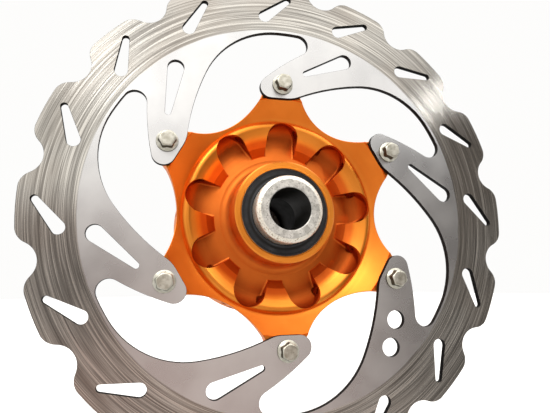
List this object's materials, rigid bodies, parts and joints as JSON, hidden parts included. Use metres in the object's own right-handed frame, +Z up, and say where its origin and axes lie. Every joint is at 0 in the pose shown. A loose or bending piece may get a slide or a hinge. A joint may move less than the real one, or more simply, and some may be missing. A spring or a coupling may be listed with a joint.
{
  "type": "front wheel brake disc and hub",
  "caption": "Scalloped brake disc with slots and swept arms, bolted to the star flange of an anodised spoked-wheel hub with shaft seals, ball bearings and steel collars.",
  "frame": {"origin": "on the axle's axis, in the plane where the disc meets the hub", "axes": "+Y along the axle from the brake side to the plain side, -Y out of the brake side, +Z up"},
  "size_m": [0.26, 0.1123, 0.26],
  "materials": {
    "disc_steel": "ground stainless steel with circular wear on the pad track",
    "bolt_steel": "plated steel, slightly yellow, with traces of rust",
    "hub_anodised": "turned and milled, orange anodised, semi-gloss",
    "collar_steel": "turned steel, dull, with light wear",
    "seal_rubber": "matt charcoal rubber",
    "spring_steel": "drawn spring wire",
    "race_steel": "ground bearing steel",
    "ball_steel": "polished bearing steel",
    "cage_steel": "pressed steel",
    "shield_rubber": "black rubber",
    "tube_aluminium": "plain turned"
  },
  "bodies": {
    "axle_parts": {"brake_side_collar": "collar_steel", "plain_side_collar": "collar_steel", "distance_tube": "tube_aluminium", "brake_side_inner_race": "race_steel", "plain_side_inner_race": "race_steel"},
    "hub": {"hub_shell": "hub_anodised", "brake_disc": "disc_steel", "disc_bolt_1": "bolt_steel", "disc_bolt_2": "bolt_steel", "disc_bolt_3": "bolt_steel", "disc_bolt_4": "bolt_steel", "disc_bolt_5": "bolt_steel", "disc_bolt_6": "bolt_steel", "brake_side_seal": "seal_rubber", "brake_side_seal_spring": "spring_steel", "brake_side_outer_race": "race_steel", "brake_side_outer_shield": "shield_rubber", "brake_side_inner_shield": "shield_rubber", "plain_side_seal": "seal_rubber", "plain_side_seal_spring": "spring_steel", "plain_side_outer_race": "race_steel", "plain_side_outer_shield": "shield_rubber", "plain_side_inner_shield": "shield_rubber"},
    "brake_side_ball_set": {"brake_side_balls": "ball_steel", "brake_side_ball_cage": "cage_steel"},
    "plain_side_ball_set": {"plain_side_balls": "ball_steel", "plain_side_ball_cage": "cage_steel"}
  },
  "joints": [
    {"name": "hub_spin", "type": "hinge", "parent": "axle_parts", "child": "hub", "pos_m": [0, 0, 0], "axis": [0, 1, 0], "continuous": true},
    {"name": "brake_side_ball_roll", "type": "hinge", "parent": "axle_parts", "child": "brake_side_ball_set", "pos_m": [0, 0, 0], "axis": [0, 1, 0], "continuous": true},
    {"name": "plain_side_ball_roll", "type": "hinge", "parent": "axle_parts", "child": "plain_side_ball_set", "pos_m": [0, 0, 0], "axis": [0, 1, 0], "continuous": true}
  ],
  "couplings": [
    {"joint": "brake_side_ball_roll", "follows": "hub_spin", "ratio": 0.56494},
    {"joint": "plain_side_ball_roll", "follows": "hub_spin", "ratio": 0.56494}
  ]
}
